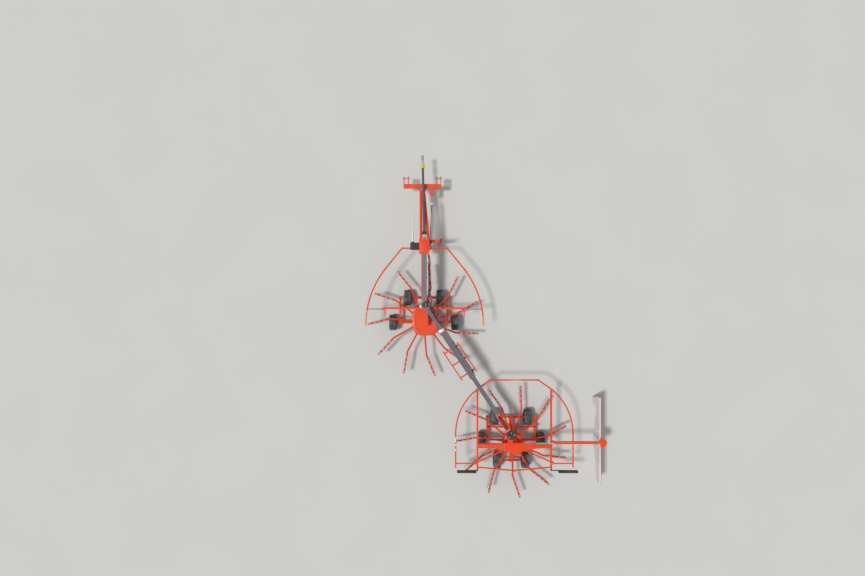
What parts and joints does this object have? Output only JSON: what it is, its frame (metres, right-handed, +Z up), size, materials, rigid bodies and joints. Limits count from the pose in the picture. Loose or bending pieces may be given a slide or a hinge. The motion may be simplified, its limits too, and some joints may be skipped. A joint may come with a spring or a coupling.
{
  "type": "twin rotor hay rake",
  "caption": "Towed hay rake with a front rotor, a rear rotor on a telescopic swinging beam, tubular guards, wheeled carriages and a swath curtain.",
  "frame": {"origin": "middle of the machine's box on the ground plane, under the wheels", "axes": "+Y towards the hitch, the direction of travel; +X to the right, towards the swath curtain; +Z up"},
  "size_m": [7.012, 10.1514, 1.3203],
  "materials": {
    "orange_paint": "semi-gloss",
    "grey_paint": "semi-gloss",
    "dark_guard": "matte",
    "zinc_steel": "satin",
    "white_plastic": "matte",
    "tine_steel": "satin",
    "black_plastic": "matte",
    "curtain_cloth": "matte",
    "tyre_rubber": "matte"
  },
  "bodies": {
    "frame": {"main_beam": "grey_paint", "hitch_bracket": "orange_paint", "drawbar": "orange_paint", "pto_shaft": "dark_guard", "steering_rod": "zinc_steel", "marker_rod": "white_plastic", "front_gearcase": "orange_paint", "front_carrier": "orange_paint", "front_hoop": "orange_paint", "front_carriage": "orange_paint"},
    "headstock": {"headstock": "orange_paint"},
    "jack": {"jack_leg": "zinc_steel"},
    "front_rotor": {"front_rotor": "orange_paint", "front_tines": "tine_steel"},
    "front_guard_left": {"front_guard_left": "orange_paint"},
    "front_guard_right": {"front_guard_right": "orange_paint"},
    "swing_beam": {"swing_beam": "grey_paint", "beam_rails": "orange_paint"},
    "inner_beam": {"inner_beam": "grey_paint"},
    "rear_unit": {"rear_cross_beam": "orange_paint", "rear_gearcase": "orange_paint", "rear_hoop": "orange_paint", "rear_rails": "orange_paint", "rear_braces": "orange_paint", "rear_carriage": "orange_paint", "lamp_boards": "black_plastic", "fold_cylinder": "zinc_steel"},
    "fold_rod": {"fold_rod": "zinc_steel"},
    "rear_guard_left": {"rear_guard_left": "orange_paint"},
    "rear_guard_right": {"rear_guard_right": "orange_paint", "curtain_arm": "orange_paint", "curtain_rail": "orange_paint", "curtain": "curtain_cloth"},
    "rear_rotor": {"rear_rotor": "orange_paint", "rear_tines": "tine_steel"},
    "front_wheel_1": {"front_wheel_1": "tyre_rubber"},
    "front_wheel_2": {"front_wheel_2": "tyre_rubber"},
    "front_wheel_3": {"front_wheel_3": "tyre_rubber"},
    "front_wheel_4": {"front_wheel_4": "tyre_rubber"},
    "rear_wheel_1": {"rear_wheel_1": "tyre_rubber"},
    "rear_wheel_2": {"rear_wheel_2": "tyre_rubber"},
    "rear_wheel_3": {"rear_wheel_3": "tyre_rubber"},
    "rear_wheel_4": {"rear_wheel_4": "tyre_rubber"},
    "rear_wheel_5": {"rear_wheel_5": "tyre_rubber"},
    "rear_wheel_6": {"rear_wheel_6": "tyre_rubber"}
  },
  "joints": [
    {"name": "headstock_yaw", "type": "hinge", "parent": "frame", "child": "headstock", "pos_m": [-1.843, 4.086, 0.68], "axis": [0, 0, 1], "range_deg": [-25, 25]},
    {"name": "jack_slide", "type": "slide", "parent": "frame", "child": "jack", "axis": [0, 0, 1], "range_m": [0, 0.35]},
    {"name": "front_rotor_spin", "type": "hinge", "parent": "frame", "child": "front_rotor", "pos_m": [-1.803, 0.2, 0.57], "axis": [0, 0, -1], "continuous": true},
    {"name": "front_guard_left_fold", "type": "hinge", "parent": "frame", "child": "front_guard_left", "pos_m": [-2.963, 0.2, 1.025], "axis": [0, 1, 0], "range_deg": [0, 95]},
    {"name": "front_guard_right_fold", "type": "hinge", "parent": "frame", "child": "front_guard_right", "pos_m": [-0.583, 0.2, 1.025], "axis": [0, -1, 0], "range_deg": [0, 95]},
    {"name": "beam_swing", "type": "hinge", "parent": "frame", "child": "swing_beam", "pos_m": [-1.773, 0.702, 1.2], "axis": [0, 0, 1], "range_deg": [-33.5, 0]},
    {"name": "beam_slide", "type": "slide", "parent": "swing_beam", "child": "inner_beam", "axis": [0.555, -0.8318, 0], "range_m": [-0.4, 0.2]},
    {"name": "rear_steer", "type": "hinge", "parent": "inner_beam", "child": "rear_unit", "pos_m": [0.717, -3.03, 1.2], "axis": [0, 0, 1], "range_deg": [-5, 40]},
    {"name": "rear_rotor_spin", "type": "hinge", "parent": "rear_unit", "child": "rear_rotor", "pos_m": [0.837, -3.4, 0.57], "axis": [0, 0, -1], "continuous": true},
    {"name": "rear_guard_left_fold", "type": "hinge", "parent": "rear_unit", "child": "rear_guard_left", "pos_m": [-0.285, -3.4, 1.025], "axis": [0, 1, 0], "range_deg": [0, 95]},
    {"name": "curtain_fold", "type": "hinge", "parent": "rear_unit", "child": "rear_guard_right", "pos_m": [1.959, -3.4, 1.025], "axis": [0, -1, 0], "range_deg": [0, 90]},
    {"name": "fold_rod_slide", "type": "slide", "parent": "rear_unit", "child": "fold_rod", "axis": [-1, 0, 0], "range_m": [0, 0.136]},
    {"name": "front_wheel_1_roll", "type": "hinge", "parent": "frame", "child": "front_wheel_1", "pos_m": [-2.293, 0.89, 0.24], "axis": [1, 0, 0], "continuous": true},
    {"name": "front_wheel_2_roll", "type": "hinge", "parent": "frame", "child": "front_wheel_2", "pos_m": [-1.313, 0.89, 0.24], "axis": [1, 0, 0], "continuous": true},
    {"name": "front_wheel_3_roll", "type": "hinge", "parent": "frame", "child": "front_wheel_3", "pos_m": [-2.743, 0.14, 0.24], "axis": [1, 0, 0], "continuous": true},
    {"name": "front_wheel_4_roll", "type": "hinge", "parent": "frame", "child": "front_wheel_4", "pos_m": [-0.863, 0.14, 0.24], "axis": [1, 0, 0], "continuous": true},
    {"name": "rear_wheel_1_roll", "type": "hinge", "parent": "rear_unit", "child": "rear_wheel_1", "pos_m": [0.337, -2.73, 0.24], "axis": [1, 0, 0], "continuous": true},
    {"name": "rear_wheel_2_roll", "type": "hinge", "parent": "rear_unit", "child": "rear_wheel_2", "pos_m": [1.337, -2.73, 0.24], "axis": [1, 0, 0], "continuous": true},
    {"name": "rear_wheel_3_roll", "type": "hinge", "parent": "rear_unit", "child": "rear_wheel_3", "pos_m": [-0.063, -3.42, 0.24], "axis": [1, 0, 0], "continuous": true},
    {"name": "rear_wheel_4_roll", "type": "hinge", "parent": "rear_unit", "child": "rear_wheel_4", "pos_m": [1.737, -3.42, 0.24], "axis": [1, 0, 0], "continuous": true},
    {"name": "rear_wheel_5_roll", "type": "hinge", "parent": "rear_unit", "child": "rear_wheel_5", "pos_m": [0.412, -4.04, 0.24], "axis": [1, 0, 0], "continuous": true},
    {"name": "rear_wheel_6_roll", "type": "hinge", "parent": "rear_unit", "child": "rear_wheel_6", "pos_m": [1.262, -4.04, 0.24], "axis": [1, 0, 0], "continuous": true}
  ],
  "couplings": [
    {"joint": "rear_steer", "follows": "beam_swing", "ratio": -1},
    {"joint": "rear_rotor_spin", "follows": "front_rotor_spin", "ratio": 1},
    {"joint": "fold_rod_slide", "follows": "curtain_fold", "m_per_rad": 0.0862}
  ]
}
